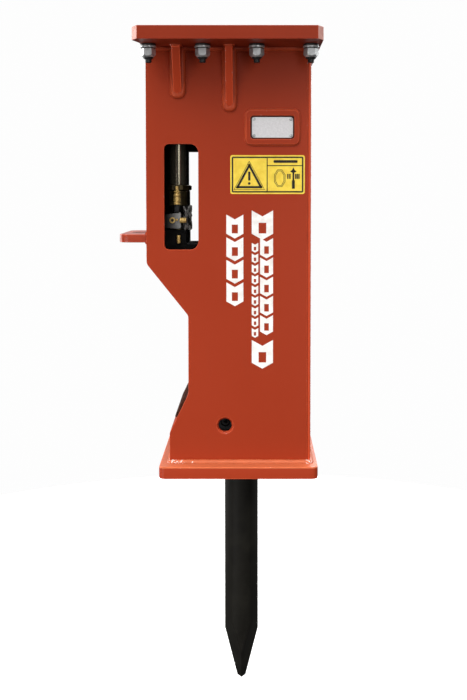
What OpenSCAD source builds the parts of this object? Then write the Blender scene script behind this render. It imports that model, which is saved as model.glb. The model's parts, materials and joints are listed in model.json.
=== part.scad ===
// Hydraulic breaker hammer in a box housing, tool pointing down.
// The origin is on the tool axis, in the top mounting face. +Z is up, -Y is the near side,
// and -X is the side where the hoses run.

/* [Housing] */
// Distance over the outer faces of the two side plates
box_depth = 220; // [216:1:224]
// Thickness of the side plates and walls
wall_t = 12; // [10:1:12]
// Distance from the tool axis to the outer face of the right wall
body_right = 135; // [133:1:140]
// Distance from the tool axis to the outer face of the left wall, at the top
body_left = 180; // [178:1:181]
// Radius of the right wall's outer corners
corner_r = 7; // [4:1:9]
// Height where the left wall starts to slant inwards
shoulder_z = -434.5; // [-440:0.5:-430]
// Distance from the tool axis to the left wall at the waist
waist_left = 100.5; // [100:0.5:104]
// Height where the waist begins
waist_top_z = -534; // [-545:1:-525]
// Height where the waist ends
waist_low_z = -686; // [-686:1:-665]
// Distance from the tool axis to the left wall at the foot
foot_left = 137; // [132:1:140]
// Height where the foot begins
foot_z = -761; // [-765:1:-755]
// Height of the top of the bottom flange
floor_z = -820; // [-820:1:-820]

/* [Top plates] */
// Thickness of each of the two top plates
plate_t = 12; // [12:1:12]
// Half of the top plates' length from the near edge to the far edge
plate_half_y = 225; // [222:1:230]
// Distance from the tool axis to the right edge
plate_right = 151; // [150:1:156]
// Distance from the tool axis to the corner ears on the left
plate_left = 194; // [192:1:200]
// Distance from the tool axis to the left edge between the ears
plate_left_inner = 184; // [184:1:188]
// Distance of the bolt rows from the tool axis
bolt_y = 161; // [158:1:168]
// Thread diameter of the plate screws
bolt_d = 16; // [16:1:16]
// Width across flats of the plate nuts
nut_af = 24; // [24:1:24]
// Height of the plate nuts
nut_h = 17; // [14:0.5:17]

/* [Bottom flange] */
// Thickness of the bottom flange
flange_t = 24; // [20:1:26]
// Half of the flange's length from the near edge to the far edge
flange_half_y = 139; // [130:1:145]
// Distance from the tool axis to the flange's left edge
flange_left = 156; // [145:1:160]
// Distance from the tool axis to the flange's right edge
flange_right = 148; // [142:1:155]

/* [Window] */
// Left edge of the window in the near side plate
window_x0 = -145.7; // [-150:0.1:-142]
// Right edge of the window in the near side plate
window_x1 = -80.5; // [-84:0.1:-78]
// Top edge of the window
window_top = -205.4; // [-210:0.1:-200]
// Bottom edge of the window
window_low = -407.2; // [-410:0.1:-400]
// Corner radius of the window on the tool side
window_r = 16; // [12:1:20]
// Corner radius of the window on the hose side
window_left_r = 9; // [6:1:14]

/* [Percussion cell] */
// Half of the width of the cell's blocks
cell_half = 78; // [77:1:79]
// Radius of the piston's rods
rod_r = 30; // [29:1:31]
// Radius of the piston's head
piston_r = 40; // [38:1:42]
// Stroke of the piston
piston_stroke = 55; // [40:1:55]
// Radius of the tie rods
tie_r = 11; // [10:0.5:11]
// Distance of the tie rods from the two middle planes
tie_pos = 54; // [54:0.5:54]

/* [Tool] */
// Diameter of the chisel
tool_d = 68; // [66:1:68]
// Height of the chisel's point
tip_z = -1299; // [-1320:0.5:-1280]
// Height where the point's flats reach the width of the shank
point_z = -1194; // [-1200:0.5:-1185]
// Free travel of the chisel between its stops
tool_travel = 40; // [30:1:40]
// Radius of the retaining pin
pin_r = 10; // [9:0.5:10]
// Running clearance between bush and chisel, on the radius
bush_gap = 0.08; // [0.03:0.01:0.1]

/* [Hoses] */
// Outer diameter of the hoses
hose_d = 31; // [28:1:31]
// Inner diameter of the hoses
hose_bore = 19; // [16:1:19]
// Distance of the hoses from the tool axis
hose_x = 124; // [122:1:126]
// Distance of each hose from the middle plane
hose_y = 45; // [42:1:48]
// Minor radius of the G 3/4 port threads
port_r = 12.1; // [11.8:0.1:12.2]

/* [Hidden] */
$fn = 64;

housing_red = [0.69, 0.24, 0.15];
steel_grey = [0.62, 0.63, 0.65];
cast_grey = [0.32, 0.33, 0.34];
black_steel = [0.11, 0.11, 0.11];
rubber_black = [0.07, 0.07, 0.07];
brass_gold = [0.72, 0.57, 0.28];

side_y = box_depth / 2;
inner_y = side_y - wall_t;
flange_top_z = -plate_t;
roof_z = -2 * plate_t;
seam_x = body_right - corner_r;
bolt_xs = [-169, -69, 31, 131];
bolt_r = bolt_d / 2;
bolt_gap = 0.7;
washer_t = 7.5;
spacer_t = 3;
washer_r = 15;
screw_end_z = roof_z - washer_t - nut_h - 10;
sink_depth = 5;
sink_r = 12;

lug_top_z = -378;
lug_t = 16;
lug_low_z = lug_top_z - lug_t;
lug_reach = 235;
lug_eye_x = -204;
lug_eye_r = 18;

buffer_top_z = flange_top_z;
back_top_z = -52;
cylinder_top_z = -192;
front_top_z = -520;
front_low_z = -806;
nose_low_z = -840;
nose_r = 59;
cell_cut = 16;
liner_low_z = -250;
guide_top_z = -470;
slide_gap = 0.05;

tool_r = tool_d / 2;
tool_top_z = -563;
strike_z = -522;
pin_x = -30;
pin_z = -747;
pin_half = 74;
notch_x = -19.5;
notch_top_z = pin_z + pin_r + 0.3;
notch_low_z = pin_z - pin_r - tool_travel - 5;
mouth_z = -766;
bush_r = 46;

valve_x = 98;
spool_r = 11;
spool_gap = 0.04;
spool_low_z = -410;
spool_len = 88;
spool_travel = 8;

block_top_z = -371;
block_low_z = -440;
block_step_z = -399;
channel_z = -416;
neck_r = 15;
hose_low_z = -283;
hose_top_z = -46;

arc_steps = 6;

function unit(v) = v / norm(v);

// Points of the arc of radius r that rounds corner p between its neighbours a and b
function corner_arc(a, p, b, r) =
    r == 0 ? [p] :
    let (
        u = unit(a - p),
        v = unit(b - p),
        half = acos(u * v) / 2,
        centre = p + unit(u + v) * r / sin(half),
        start = p + u * r / tan(half) - centre,
        finish = p + v * r / tan(half) - centre,
        from = atan2(start[1], start[0]),
        turn = atan2(finish[1], finish[0]) - from,
        sweep = turn > 180 ? turn - 360 : turn < -180 ? turn + 360 : turn
    )
    [for (i = [0 : arc_steps])
        centre + r * [cos(from + sweep * i / arc_steps), sin(from + sweep * i / arc_steps)]];

// An outline with each corner rounded to its own radius
function rounded(points, radii) =
    [for (i = [0 : len(points) - 1])
        each corner_arc(points[(i + len(points) - 1) % len(points)], points[i],
                        points[(i + 1) % len(points)], radii[i])];

function left_normal(a, b) = let (d = unit(b - a)) [-d[1], d[0]];
function miter(n1, n2) = (n1 + n2) / (1 + n1 * n2);

// A path moved sideways by t, keeping its corners sharp
function moved_path(p, t) =
    [for (i = [0 : len(p) - 1])
        p[i] + t * (i == 0 ? left_normal(p[0], p[1])
            : i == len(p) - 1 ? left_normal(p[i - 1], p[i])
            : miter(left_normal(p[i - 1], p[i]), left_normal(p[i], p[i + 1])))];

// The left edge of the housing from the shoulder to the foot, as x and z
left_edge = [
    [-body_left, shoulder_z],
    [-waist_left, waist_top_z],
    [-waist_left, waist_low_z],
    [-foot_left, foot_z]
];
bend_radii = [16, 12, 24, 14];

// Cuts a flat outline in x and z as a plate from y0 to y0 + t
module upright(y0, t) {
    translate([0, y0 + t, 0]) rotate([90, 0, 0]) linear_extrude(t) children();
}

// Cuts a flat outline in y and z as a plate from x0 to x0 + t
module crosswise(x0, t) {
    translate([x0, 0, 0]) rotate([90, 0, 90]) linear_extrude(t) children();
}

// A rectangle between two corners, with round corners
module round_box(low, high, r) {
    outline = [low, [high[0], low[1]], high, [low[0], high[1]]];
    polygon(rounded(outline, [r, r, r, r]));
}

// A round bar along Z between two heights
module bar(r, z0, z1) {
    translate([0, 0, z0]) cylinder(r = r, h = z1 - z0);
}

// A ring around Z between two heights
module ring(r_out, r_in, z0, z1) {
    difference() {
        bar(r_out, z0, z1);
        bar(r_in, z0 - 1, z1 + 1);
    }
}

// A hexagon bar by its width across flats
module hex_bar(af, z0, z1) {
    translate([0, 0, z0]) cylinder(r = af / sqrt(3), h = z1 - z0, $fn = 6);
}

// A hexagon nut bored to radius r, with a domed lower end and a chamfered upper one
module hex_nut(af, h, r) {
    corner = af / sqrt(3);
    difference() {
        intersection() {
            hex_bar(af, 0, h);
            rotate_extrude() polygon([
                [0, 0], [max(af * 0.42, r + 0.8), 0], [corner, h * 0.26],
                [corner, h * 0.88], [max(af * 0.48, r + 0.8), h], [0, h]
            ]);
        }
        bar(r, -1, h + 1);
    }
}

// A block of the percussion cell with its long edges cut off
module cell_block(z0, z1) {
    c = cell_half;
    k = cell_half - cell_cut;
    translate([0, 0, z0]) linear_extrude(z1 - z0) polygon([
        [-k, -c], [k, -c], [c, -k], [c, k], [k, c], [-k, c], [-c, k], [-c, -k]
    ]);
}

// Both signs of y for pieces that come in near and far pairs
module both_sides() {
    children();
    mirror([0, 1, 0]) children();
}

module at_tie_rods() {
    for (x = [-tie_pos, tie_pos], y = [-tie_pos, tie_pos]) translate([x, y, 0]) children();
}

module at_plate_bolts() {
    for (x = bolt_xs, y = [-bolt_y, bolt_y]) translate([x, y, 0]) children();
}

module at_hoses() {
    for (y = [-hose_y, hose_y]) translate([-hose_x, y, 0]) children();
}

module top_outline() {
    ear = 11;
    ear_y = 19;
    relief_y = 53;
    half = [
        [-plate_left_inner, -plate_half_y + relief_y],
        [-plate_left, -plate_half_y + ear_y],
        [-plate_left + ear, -plate_half_y],
        [plate_right - ear, -plate_half_y],
        [plate_right, -plate_half_y + ear_y]
    ];
    polygon(concat(half, [for (i = [len(half) - 1 : -1 : 0]) [half[i][0], -half[i][1]]]));
}

module hose_opening() {
    round_box([-hose_x - 34, -hose_y - 34], [-hose_x + 34, hose_y + 34], 14);
}

module adapter_plate() {
    color(housing_red) difference() {
        translate([0, 0, -plate_t]) linear_extrude(plate_t) difference() {
            top_outline();
            hose_opening();
        }
        at_plate_bolts() {
            bar(bolt_r + bolt_gap, -plate_t - 1, 1);
            translate([0, 0, -sink_depth])
                cylinder(r1 = bolt_r + bolt_gap, r2 = sink_r + bolt_gap, h = sink_depth + 0.01);
        }
    }
}

module top_flange() {
    mouth = cell_half + 3;
    color(housing_red) difference() {
        translate([0, 0, roof_z]) linear_extrude(plate_t) difference() {
            top_outline();
            round_box([-mouth, -mouth], [mouth, mouth], 12);
        }
        at_plate_bolts() bar(bolt_r + bolt_gap, roof_z - 1, 0);
        at_hoses() bar(19.3, roof_z - 1, 0);
    }
}

module side_outline() {
    foot = [-foot_left, floor_z];
    roof = [-body_left, roof_z];
    points = concat([[seam_x, roof_z], roof], left_edge, [foot, [seam_x, floor_z]]);
    polygon(rounded(points, concat([0, 0], bend_radii, [0, 0])));
}

// Hole through a side plate for the retaining pin, and the bevel around it
module pin_access(y_face, r) {
    translate([pin_x, 0, pin_z]) rotate([90, 0, 0]) {
        translate([0, 0, -side_y - 1]) cylinder(r = r, h = 2 * side_y + 2);
        translate([0, 0, y_face - 3]) cylinder(r1 = r, r2 = r + 3.2, h = 3.01);
    }
}

module near_side_plate() {
    color(housing_red) difference() {
        upright(-side_y, wall_t) difference() {
            side_outline();
            polygon(rounded(
                [[window_x0, window_low], [window_x1, window_low],
                 [window_x1, window_top], [window_x0, window_top]],
                [window_left_r, window_r, window_r, window_left_r]));
        }
        pin_access(side_y, 13);
    }
}

module far_side_plate() {
    color(housing_red) difference() {
        upright(inner_y, wall_t) difference() {
            side_outline();
            round_box([-133, -404], [-90, -212.4], 3);
        }
        translate([pin_x, 0, pin_z]) rotate([90, 0, 0])
            translate([0, 0, -side_y - 1]) cylinder(r = 8, h = wall_t + 2);
        translate([30, 0, -700]) rotate([90, 0, 0])
            translate([0, 0, -side_y - 1]) cylinder(r = 17, h = wall_t + 2);
    }
}

module right_wall() {
    x_in = body_right - wall_t;
    outline = [
        [x_in, -inner_y], [seam_x, -inner_y], [seam_x, -side_y], [body_right, -side_y],
        [body_right, side_y], [seam_x, side_y], [seam_x, inner_y], [x_in, inner_y]
    ];
    color(housing_red) difference() {
        translate([0, 0, floor_z]) linear_extrude(roof_z - floor_z)
            polygon(rounded(outline, [0, 0, 0, corner_r - 0.01, corner_r - 0.01, 0, 0, 0]));
        crosswise(x_in - 1, wall_t + 2) round_box([-45, -430], [45, -290], 14);
    }
}

module upper_left_wall() {
    color(housing_red) translate([-body_left, -inner_y, lug_top_z])
        cube([wall_t, 2 * inner_y, roof_z - lug_top_z]);
}

module lower_left_wall() {
    path = concat([[-body_left, lug_low_z]], left_edge, [[-foot_left, floor_z]]);
    inside = moved_path(path, wall_t);
    count = len(path);
    back = [for (i = [count - 1 : -1 : 0]) inside[i]];
    radii = concat([0], bend_radii, [0]);
    inner_radii = [0, bend_radii[3] + wall_t, bend_radii[2] - wall_t, 1,
                   bend_radii[0] + wall_t, 0];
    color(housing_red) upright(-inner_y, 2 * inner_y)
        polygon(rounded(concat(path, back), concat(radii, inner_radii)));
}

module bottom_flange() {
    color(housing_red) difference() {
        translate([0, 0, floor_z - flange_t]) linear_extrude(flange_t)
            round_box([-flange_left, -flange_half_y], [flange_right, flange_half_y], 11);
        bar(nose_r + 2, floor_z - flange_t - 1, floor_z + 1);
    }
}

// A bracket between the top flange and a side plate, on the near and the far side
module gusset_pair(x0, t, h) {
    reach = 50;
    toe = 4;
    color(housing_red) both_sides() crosswise(x0, t) polygon([
        [-side_y, roof_z], [-side_y - reach, roof_z], [-side_y - reach, roof_z - toe],
        [-side_y - toe, roof_z - h], [-side_y, roof_z - h]
    ]);
}

module short_gussets() {
    gusset_pair(-127, 16, 88);
}

module long_gussets() {
    gusset_pair(-28, 14.5, 113);
}

module side_lug() {
    inner_x = -156;
    color(housing_red) difference() {
        translate([0, 0, lug_low_z]) linear_extrude(lug_t) polygon(rounded(
            [[inner_x, -inner_y], [inner_x, inner_y], [-lug_reach, inner_y],
             [-lug_reach, -inner_y]],
            [0, 0, 20, 20]));
        translate([lug_eye_x, 0, 0]) bar(lug_eye_r, lug_low_z - 1, lug_top_z + 1);
    }
}

plate_centre = [60.9, -174];
badge_w = 78;
badge_h = 39;

module nameplate_frame() {
    c = plate_centre;
    color(housing_red) upright(-side_y - 6, 6) difference() {
        round_box(c - [50.5, 32.5], c + [50.5, 32.5], 9);
        round_box(c - [41.5, 21.7], c + [41.5, 21.7], 5);
    }
}

module at_badge_corners() {
    for (x = [-1, 1], z = [-1, 1])
        translate([plate_centre[0] + x * (badge_w / 2 - 4), 0,
                   plate_centre[1] + z * (badge_h / 2 - 4)]) children();
}

module nameplate() {
    size = [badge_w / 2, badge_h / 2];
    color(steel_grey) difference() {
        upright(-side_y - 1.5, 1.5) round_box(plate_centre - size, plate_centre + size, 4.5);
        at_badge_corners() rotate([90, 0, 0]) translate([0, 0, side_y - 1])
            cylinder(r = 1.6, h = 4);
    }
}

module nameplate_screws() {
    color(steel_grey) at_badge_corners() rotate([90, 0, 0]) {
        translate([0, 0, side_y]) cylinder(r = 1.6, h = 1.5);
        translate([0, 0, side_y + 1.5]) cylinder(r1 = 3, r2 = 2.4, h = 1.2);
    }
}

module yellow_label() {
    color([0.9, 0.7, 0.1]) upright(-side_y - 0.4, 0.4)
        round_box([-19.3, -300.5], [122.8, -226.6], 2);
}

// A column of count slotted arrow-shaped bars that point down, each thick high, pitch apart
module chevron_column(x0, x1, top, count, pitch, thick) {
    mid = (x0 + x1) / 2;
    dip = (x1 - x0) * 0.28;
    slot = [(x1 - x0) * 0.36, thick * 0.46];
    for (i = [0 : count - 1]) {
        upper = top - i * pitch;
        difference() {
            polygon([
                [x0, upper], [mid, upper - dip], [x1, upper],
                [x1, upper - thick], [mid, upper - thick - dip], [x0, upper - thick]
            ]);
            translate([mid - slot[0] / 2, upper - dip - (thick + slot[1]) / 2]) square(slot);
        }
    }
}

module white_graphics() {
    color("white") upright(-side_y - 0.4, 0.4) {
        chevron_column(-27, 5.5, -340, 4, 43.3, 36.5);
        chevron_column(21.6, 62.3, -332, 1, 50, 44.5);
        chevron_column(37.5, 62.3, -385, 5, 37, 31.5);
        chevron_column(21.6, 34, -394, 9, 20.5, 15);
        chevron_column(21.6, 62.3, -581, 1, 50, 44);
    }
}

module ribbed_pad() {
    pad_t = 4.5;
    slope = unit(left_edge[3] - left_edge[2]);
    start = left_edge[2] + slope * 10;
    finish = start + slope * 41;
    face = [slope[1], -slope[0]];
    pitch = 10;
    color([0.2, 0.1, 0.07]) difference() {
        upright(-side_y + 4, box_depth - 8) polygon([
            start, finish, finish + face * pad_t, start + face * pad_t + slope * 3
        ]);
        for (i = [-9 : 9])
            translate([start[0] + slope[0] * 30, i * pitch * 1.2, start[1] + slope[1] * 30])
                rotate([0, atan2(slope[0], slope[1]) + 180, 0])
                rotate([35, 0, 0])
                translate([-pad_t - 2, -1.5, -60]) cube([4, 3, 120]);
    }
}

module plate_screws() {
    socket_af = 10;
    color(steel_grey) at_plate_bolts() difference() {
        union() {
            bar(bolt_r, screw_end_z, -sink_depth - 0.5);
            translate([0, 0, -sink_depth - 0.5])
                cylinder(r1 = bolt_r, r2 = sink_r, h = sink_depth);
        }
        hex_bar(socket_af, -5.5, 1);
    }
}

module plate_washers() {
    color(steel_grey) at_plate_bolts() {
        ring(washer_r, bolt_r + 0.5, roof_z - washer_t, roof_z - spacer_t);
        ring(washer_r - 2, bolt_r + 0.5, roof_z - spacer_t, roof_z);
    }
}

module plate_nuts() {
    color(steel_grey) at_plate_bolts()
        translate([0, 0, roof_z - washer_t - nut_h]) hex_nut(nut_af, nut_h, bolt_r);
}

module upper_buffer() {
    color(rubber_black) difference() {
        cell_block(back_top_z, buffer_top_z);
        bar(28, back_top_z - 1, buffer_top_z + 1);
    }
}

gas_valve_z = -120;
tie_head_z = -82;
tie_end_z = -600;
gas_r = 45;

module back_head() {
    color(cast_grey) difference() {
        cell_block(cylinder_top_z, back_top_z);
        bar(gas_r, cylinder_top_z - 1, -80);
        at_tie_rods() {
            bar(tie_r + 0.5, cylinder_top_z - 1, 0);
            bar(20.5, tie_head_z, 0);
        }
        translate([-cell_half - 1, 0, gas_valve_z]) rotate([0, 90, 0])
            cylinder(r = 9, h = cell_half);
    }
}

module gas_valve() {
    color(brass_gold) translate([0, 0, gas_valve_z]) rotate([0, -90, 0]) difference() {
        union() {
            translate([0, 0, 50]) cylinder(r = 9, h = cell_half - 50);
            translate([0, 0, cell_half]) cylinder(r = 14, h = 9, $fn = 6);
        }
        translate([0, 0, 44]) cylinder(r = 3, h = 60);
    }
}

module gas_valve_cap() {
    color(steel_grey) translate([0, 0, gas_valve_z]) rotate([0, -90, 0]) {
        translate([0, 0, cell_half + 9]) cylinder(r = 10, h = 8);
        translate([0, 0, cell_half + 17]) cylinder(r1 = 10, r2 = 8, h = 2);
    }
}

module cylinder_bore() {
    bar(piston_r + slide_gap, guide_top_z, liner_low_z + 1);
    bar(piston_r + 8, liner_low_z, cylinder_top_z + 1);
    bar(rod_r + slide_gap, front_top_z - 1, guide_top_z + 1);
    for (z = [-512, -496]) bar(rod_r + 6, z, z + 6);
}

module cylinder_block() {
    color(cast_grey) difference() {
        cell_block(front_top_z, cylinder_top_z);
        cylinder_bore();
        at_tie_rods() bar(tie_r + 0.5, front_top_z - 1, cylinder_top_z + 1);
        at_block_screws() cylinder(r = 5, h = 30);
        at_valve_screws() cylinder(r = 4, h = 24);
        oil_channel();
    }
}

module seal_carrier() {
    color(steel_grey) difference() {
        bar(piston_r + 8, liner_low_z, cylinder_top_z);
        bar(rod_r + slide_gap, liner_low_z - 1, cylinder_top_z + 1);
        for (z = [-240, -222, -206]) bar(rod_r + 6, z, z + 6);
    }
}

module gas_seals() {
    color(rubber_black) for (z = [-240, -222, -206])
        ring(rod_r + 6, rod_r + 0.1, z, z + 6);
}

module oil_seals() {
    color(rubber_black) for (z = [-512, -496])
        ring(rod_r + 6, rod_r + 0.1, z, z + 6);
}

valve_half_y = 36;
valve_low_z = -425;
valve_top_z = -300;

module at_valve_screws() {
    for (y = [-27, 27], z = [-412, -313])
        translate([cell_half, y, z]) rotate([0, -90, 0]) children();
}

module valve_body() {
    color(cast_grey) difference() {
        crosswise(cell_half, 40) round_box([-valve_half_y, valve_low_z],
                                           [valve_half_y, valve_top_z], 6);
        translate([valve_x, 0, 0]) bar(spool_r + spool_gap, spool_low_z - 2, valve_top_z + 1);
        at_valve_screws() translate([0, 0, -41]) cylinder(r = 4.5, h = 42);
        at_valve_screws() translate([0, 0, -41]) cylinder(r = 7.5, h = 10);
    }
}

module valve_plug() {
    low = spool_low_z + spool_len + spool_travel + 2;
    color(steel_grey) translate([valve_x, 0, 0]) {
        bar(spool_r + spool_gap, low, valve_top_z);
        hex_bar(32, valve_top_z, valve_top_z + 10);
    }
}

module valve_screws() {
    color(steel_grey) at_valve_screws() difference() {
        union() {
            translate([0, 0, -31]) cylinder(r = 4, h = 31 + 24);
            translate([0, 0, -39]) cylinder(r = 6.5, h = 8);
        }
        translate([0, 0, -40]) cylinder(r = 3.5, h = 6, $fn = 6);
    }
}

module front_head() {
    color(cast_grey) difference() {
        union() {
            cell_block(front_low_z, front_top_z);
            bar(nose_r, nose_low_z, front_low_z + 1);
        }
        bar(tool_r + 3, nose_low_z - 1, front_top_z + 1);
        bar(bush_r, -612, -566);
        bar(bush_r, nose_low_z - 1, mouth_z);
        bar(bush_r, front_top_z - 8, front_top_z + 1);
        at_tie_rods() bar(tie_r, tie_end_z, front_top_z + 1);
        translate([pin_x, 0, pin_z]) rotate([90, 0, 0]) translate([0, 0, -100])
            cylinder(r = pin_r + slide_gap, h = 200);
        translate([45.5, 0, -797]) rotate([90, 0, 0]) translate([0, 0, -76])
            cylinder(r = 5, h = 200);
        translate([30, cell_half + 1, -700]) rotate([90, 0, 0]) cylinder(r = 4, h = 46);
    }
}

module upper_bush() {
    color([0.55, 0.45, 0.25]) ring(bush_r, tool_r + bush_gap, -612, -566);
}

module lower_bush() {
    color([0.55, 0.45, 0.25]) difference() {
        ring(bush_r, tool_r + bush_gap, -828, mouth_z);
        translate([45.5, 0, -797]) rotate([90, 0, 0]) translate([0, 0, -76])
            cylinder(r = 5, h = 200);
    }
}

module bush_pin() {
    color(steel_grey) translate([45.5, 0, -797]) rotate([90, 0, 0])
        translate([0, 0, -76]) cylinder(r = 5, h = 152);
}

module dust_seal() {
    color(rubber_black) ring(bush_r, tool_r + 0.4, nose_low_z, -828);
}

module lower_buffer() {
    color(rubber_black) difference() {
        cell_block(floor_z, front_low_z);
        bar(nose_r, floor_z - 1, front_low_z + 1);
    }
}

module wear_pads() {
    color(rubber_black) {
        both_sides() for (z = [-180, -680])
            translate([-50, -inner_y, z]) cube([100, inner_y - cell_half, 70]);
        for (z = [-180, -680])
            translate([cell_half, -40, z]) cube([body_right - wall_t - cell_half, 80, 70]);
    }
}

module tie_rods() {
    color(black_steel) at_tie_rods() bar(tie_r, tie_end_z, -56);
}

module tie_rod_washers() {
    color(steel_grey) at_tie_rods() ring(19.5, tie_r + 0.2, tie_head_z, tie_head_z + 4);
}

module tie_rod_nuts() {
    color(steel_grey) at_tie_rods() translate([0, 0, tie_head_z + 4]) hex_nut(32, 18, tie_r);
}

module at_block_screws() {
    for (y = [-23, 23], z = [-410, -430])
        translate([-cell_half, y, z]) rotate([0, 90, 0]) children();
}

// The drilled way from a hose connection into the cylinder
module oil_channel() {
    for (y = [-hose_y, hose_y]) {
        translate([-hose_x, y, 0]) bar(8, channel_z, block_top_z);
        translate([-hose_x, y, channel_z]) rotate([0, 90, 0])
            cylinder(r = 8, h = hose_x - cell_half + 33);
    }
}

module port_blocks() {
    inner_edge = 13;
    outer_edge = 69;
    color(black_steel) difference() {
        both_sides() {
            translate([-150, inner_edge, block_low_z])
                cube([150 - cell_half, outer_edge - inner_edge, block_step_z - block_low_z]);
            translate([-150, hose_y - 24, block_step_z])
                cube([43, 48, block_top_z - block_step_z]);
        }
        at_hoses() bar(12, block_top_z - 22, block_top_z + 1);
        oil_channel();
        at_block_screws() translate([0, 0, -73]) cylinder(r = 5, h = 74);
        at_block_screws() translate([0, 0, -73]) cylinder(r = 8.5, h = 12);
    }
}

module port_block_screws() {
    color(steel_grey) at_block_screws() difference() {
        union() {
            translate([0, 0, -61]) cylinder(r = 5, h = 61 + 30);
            translate([0, 0, -71]) cylinder(r = 8, h = 10);
        }
        translate([0, 0, -72]) cylinder(r = 4.6, h = 7, $fn = 6);
    }
}

module hose_adapters() {
    color(brass_gold) at_hoses() difference() {
        union() {
            bar(12, block_top_z - 22, block_top_z);
            bar(neck_r, block_top_z, -323);
            bar(18, -323, -295);
            bar(15, -295, hose_low_z);
            bar(hose_bore / 2, hose_low_z, hose_low_z + 36);
            translate([0, 0, -310]) rotate([90, 0, 0]) cylinder(r = 5, h = 20);
        }
        bar(7, -400, -200);
    }
}

module adapter_nuts() {
    color(black_steel) at_hoses() translate([0, 0, -339]) hex_nut(36, 16, neck_r);
}

module swivel_nuts() {
    color(black_steel) at_hoses() translate([0, 0, -295]) hex_nut(37, 12, 15);
}

module test_points() {
    stand_off = 27;
    color(brass_gold) for (y = [-hose_y, hose_y]) {
        translate([-hose_x, y - stand_off, 0]) {
            bar(6, -336, -321);
            bar(7, -321, -313);
            bar(6, -313, -310);
            bar(7, -310, -300);
            bar(5, -300, -297);
            bar(3.6, -297, -285);
        }
        translate([-hose_x + 3, y - 24 - 3.5, 0]) bar(3.5, -397, -381);
    }
}

clamp_low_z = -368;
clamp_top_z = -342;
clamp_face = 72;
clamp_screw_x = -133;

module at_clamp_bolts() {
    for (x = [clamp_screw_x, -112]) translate([x, 0, -351.7]) rotate([90, 0, 0]) children();
}

module line_clamp() {
    slit = 0.4;
    height = clamp_top_z - clamp_low_z;
    color(steel_grey) difference() {
        union() {
            translate([-150, -clamp_face, clamp_low_z])
                cube([150 - hose_x - slit, 2 * clamp_face, height]);
            translate([-hose_x + slit, -clamp_face, clamp_low_z])
                cube([18, 2 * clamp_face, height]);
            translate([-111, -clamp_face - 2, clamp_low_z]) cube([13, 8, height + 19]);
        }
        at_hoses() bar(neck_r, clamp_low_z - 1, clamp_top_z + 1);
        at_clamp_bolts() translate([0, 0, clamp_face - 10]) cylinder(r = 3, h = 13);
        at_clamp_bolts() translate([0, 0, -clamp_face - 3]) cylinder(r = 3, h = 13);
    }
}

module clamp_straps() {
    color(steel_grey) difference() {
        both_sides() upright(-clamp_face - 3, 3) polygon(rounded(
            [[-148.5, -367], [-116.2, -368.8], [-116.2, -336.3], [-148.5, -341]],
            [1, 4, 3, 1]));
        translate([clamp_screw_x, 0, -351.7]) rotate([90, 0, 0])
            translate([0, 0, -100]) cylinder(r = 3, h = 200);
    }
}

module clamp_bolts() {
    head_y = clamp_face + 8.3;
    color(brass_gold) both_sides() {
        at_clamp_bolts() translate([0, 0, clamp_face - 10]) cylinder(r = 3, h = 13);
        translate([clamp_screw_x, -clamp_face - 3, -351.7]) rotate([90, 0, 0]) difference() {
            cylinder(r = 6.2, h = 4.5);
            translate([0, 0, 2]) cylinder(r = 3.2, h = 3, $fn = 6);
        }
        translate([-118.2, -head_y, -351.7]) rotate([0, 90, 0]) cylinder(r = 5.2, h = 12.8);
    }
}

module hose(y) {
    color(rubber_black) translate([-hose_x, y, 0])
        ring(hose_d / 2, hose_bore / 2, hose_low_z, hose_top_z);
}

module inlet_hose() {
    hose(-hose_y);
}

module outlet_hose() {
    hose(hose_y);
}

module hose_ferrules() {
    color(black_steel) at_hoses() {
        ring(hose_d / 2 + 1.2, hose_d / 2, hose_low_z, hose_low_z + 40);
        ring(hose_d / 2 + 1.2, hose_d / 2, hose_top_z - 40, hose_top_z);
    }
}

module top_couplings() {
    color(steel_grey) at_hoses() difference() {
        union() {
            bar(19, roof_z, -2);
            hex_bar(46, hose_top_z, roof_z);
            bar(hose_bore / 2, hose_top_z - 36, hose_top_z);
        }
        bar(port_r, -22, 0);
        bar(7, hose_top_z - 37, 0);
    }
}

module coupling_nuts() {
    color(steel_grey) at_hoses() translate([0, 0, flange_top_z]) hex_nut(46, 8, 19);
}

module grease_nipple() {
    color(brass_gold) translate([30, cell_half, -700]) rotate([-90, 0, 0]) {
        translate([0, 0, -12]) cylinder(r = 4, h = 12);
        cylinder(r = 6, h = 5, $fn = 6);
        translate([0, 0, 5]) cylinder(r = 3, h = 9);
        translate([0, 0, 14]) sphere(r = 3.4);
    }
}

module retaining_pin() {
    color(steel_grey) translate([pin_x, 0, pin_z]) rotate([90, 0, 0]) difference() {
        union() {
            translate([0, 0, -pin_half + 2]) cylinder(r = pin_r, h = 2 * pin_half - 4);
            translate([0, 0, pin_half - 2]) cylinder(r1 = pin_r, r2 = pin_r - 2, h = 2);
            translate([0, 0, -pin_half]) cylinder(r1 = pin_r - 2, r2 = pin_r, h = 2);
        }
        translate([0, 0, pin_half - 16]) cylinder(r = 4, h = 17);
    }
}

// Two opposite flats of the point, closing towards the tip
module point_flats(angle) {
    flat = 27.85;
    slope = 0.21;
    high = 60;
    tip_flat = flat - slope * (point_z - tip_z - 6);
    rotate([90, 0, angle]) linear_extrude(120, center = true) polygon([
        [-flat - slope * high, point_z + high], [flat + slope * high, point_z + high],
        [tip_flat, tip_z + 6], [0, tip_z], [-tip_flat, tip_z + 6]
    ]);
}

module chisel() {
    shank_low_z = point_z + 50;
    struck_r = 26;
    color(black_steel) {
        difference() {
            union() {
                bar(tool_r, shank_low_z, tool_top_z - 12);
                translate([0, 0, tool_top_z - 12])
                    cylinder(r1 = tool_r, r2 = struck_r, h = 12);
                intersection() {
                    bar(tool_r, tip_z - 1, shank_low_z);
                    point_flats(35);
                    point_flats(-35);
                }
            }
            translate([notch_x - 40, -60, notch_low_z])
                cube([40, 120, notch_top_z - notch_low_z]);
        }
    }
}

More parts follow.
